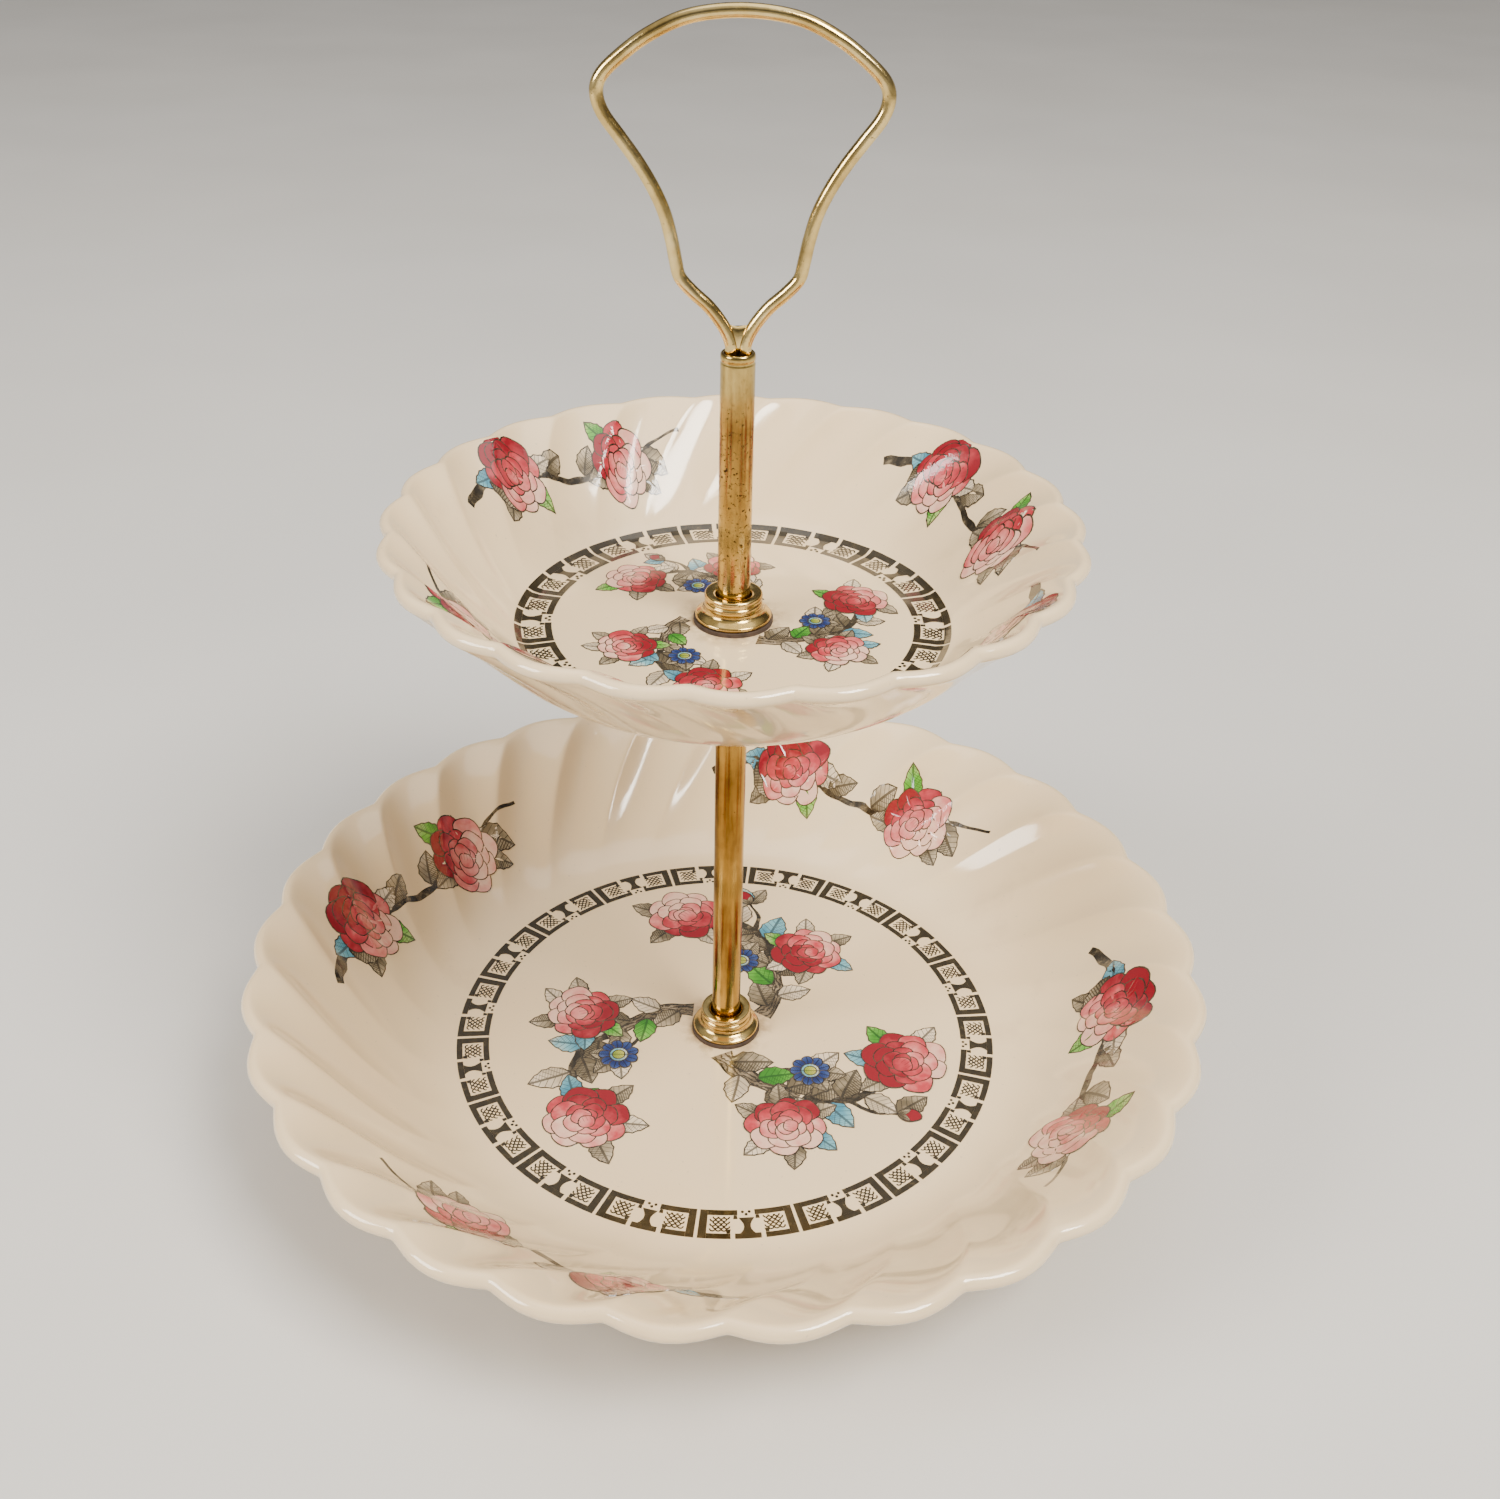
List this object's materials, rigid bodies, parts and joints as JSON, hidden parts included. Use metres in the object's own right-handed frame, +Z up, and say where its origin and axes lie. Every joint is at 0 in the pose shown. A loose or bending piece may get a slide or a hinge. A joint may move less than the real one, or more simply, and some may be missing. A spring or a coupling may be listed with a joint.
{
  "type": "tiered cake stand",
  "caption": "Tiered cake stand: scalloped, swirl-fluted ceramic bowls on a screwed brass tube stem with a bent wire loop handle.",
  "frame": {"origin": "on the stem's axis, in the plane that the foot ring rests on", "axes": "+Z up along the stem; the handle's loop lies in the XZ plane"},
  "size_m": [0.213, 0.2122, 0.23],
  "materials": {
    "ivory_glaze": "gloss",
    "tube_brass": "satin",
    "turned_brass": "polished",
    "wire_brass": "polished",
    "dark_pad": "matte",
    "plated_steel": "satin"
  },
  "bodies": {
    "lower_tier": {"lower_bowl": "ivory_glaze", "lower_pad_top": "dark_pad", "lower_pad_bottom": "dark_pad"},
    "stem": {"lower_collar": "turned_brass", "lower_tube": "tube_brass", "foot_bush": "plated_steel", "head_bush": "plated_steel", "base_washer": "plated_steel", "base_screw": "plated_steel", "support_washer": "turned_brass", "joining_stud": "plated_steel"},
    "upper_tier": {"upper_bowl": "ivory_glaze", "upper_pad_top": "dark_pad", "upper_pad_bottom": "dark_pad"},
    "collar": {"upper_collar": "turned_brass"},
    "handle": {"upper_tube": "tube_brass", "upper_tube_bush": "plated_steel", "handle_loop": "wire_brass"}
  },
  "joints": [
    {"name": "stem_turn", "type": "hinge", "parent": "lower_tier", "child": "stem", "pos_m": [0, 0, 0.0095], "axis": [0, 0, 1], "continuous": true},
    {"name": "upper_tier_turn", "type": "hinge", "parent": "stem", "child": "upper_tier", "pos_m": [0, 0, 0.118], "axis": [0, 0, 1], "continuous": true},
    {"name": "handle_rise", "type": "slide", "parent": "stem", "child": "collar", "axis": [0, 0, 1], "range_m": [0, 0.0042]},
    {"name": "handle_unscrew", "type": "hinge", "parent": "collar", "child": "handle", "pos_m": [0, 0, 0.118], "axis": [0, 0, 1], "range_deg": [0, 2160]}
  ],
  "couplings": [
    {"joint": "handle_unscrew", "follows": "handle_rise", "rad_per_m": 8975.1}
  ]
}
